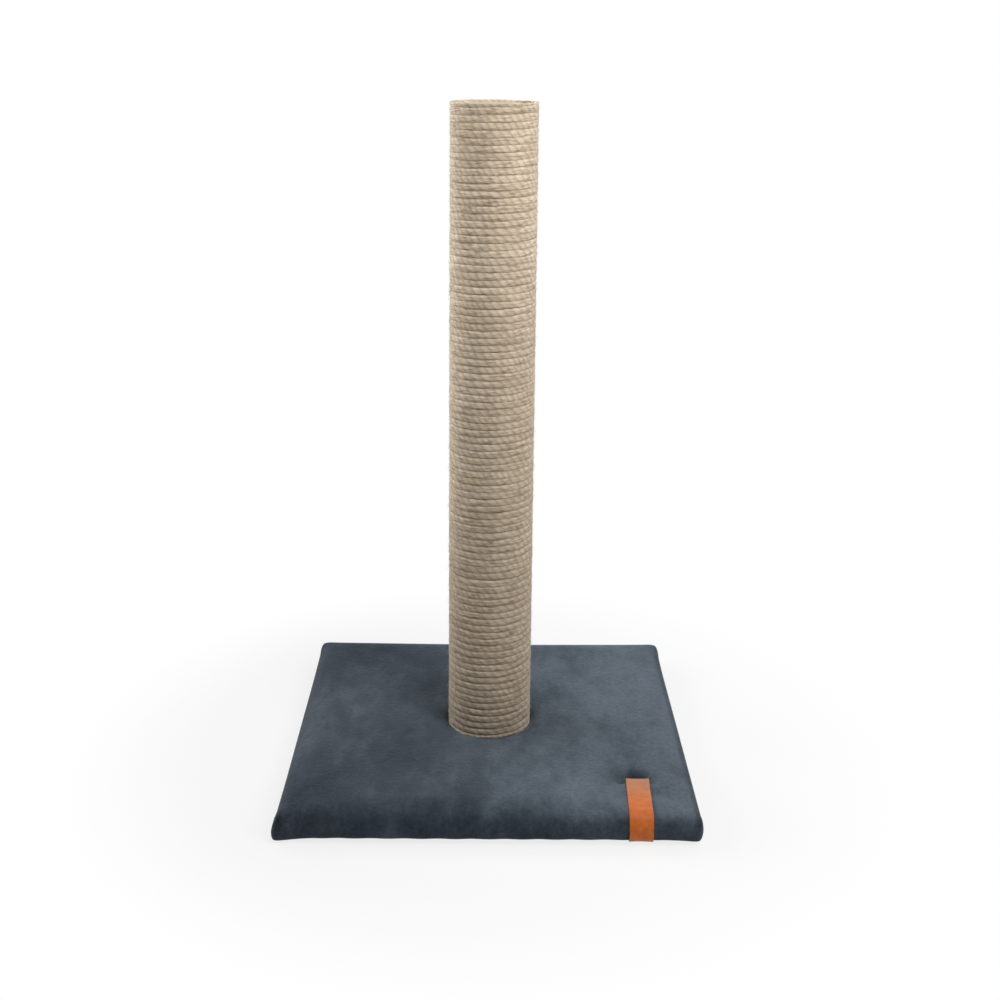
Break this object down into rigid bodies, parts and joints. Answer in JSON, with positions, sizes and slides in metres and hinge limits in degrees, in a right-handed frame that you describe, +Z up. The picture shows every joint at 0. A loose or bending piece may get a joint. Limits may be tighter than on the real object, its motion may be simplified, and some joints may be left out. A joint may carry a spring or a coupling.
{
  "type": "cat scratching post",
  "caption": "Upright post wound in natural-fibre rope, bolted to a square plush-covered padded base with a leather tab over its front edge, for a cat to claw and stretch against.",
  "frame": {"origin": "on the floor, under the middle of the base", "axes": "+Z up along the post, -Y towards the front edge that carries the tab, +X to the right seen from the front"},
  "size_m": [0.4, 0.4017, 0.67],
  "materials": {
    "chipboard": "raw pressed board",
    "foam": "soft open-cell foam",
    "plush": "short brushed plush",
    "staple_steel": "galvanised wire",
    "backing_cloth": "non-woven cloth",
    "pad_rubber": "matt",
    "tan_leather": "smooth, slightly polished",
    "tube_board": "wound kraft board",
    "plug_wood": "raw",
    "nail_steel": "bright wire",
    "zinc_steel": "zinc plated",
    "cap_plastic": "moulded, matt",
    "jute": "twisted natural fibre"
  },
  "bodies": {
    "root": {"base_board": "chipboard", "base_foam": "foam", "base_cover": "plush", "cover_staples": "staple_steel", "base_liner": "backing_cloth", "liner_staples": "staple_steel", "anti_slip_pad_front_left": "pad_rubber", "anti_slip_pad_front_right": "pad_rubber", "anti_slip_pad_back_left": "pad_rubber", "anti_slip_pad_back_right": "pad_rubber", "leather_tab": "tan_leather", "tab_staples": "staple_steel", "post_tube": "tube_board", "bottom_plug": "plug_wood", "bottom_plug_nails": "nail_steel", "tee_nut": "zinc_steel", "post_bolt": "zinc_steel", "bolt_washer": "zinc_steel", "top_cap": "cap_plastic", "top_cap_nails": "nail_steel", "jute_rope": "jute"}
  },
  "joints": []
}
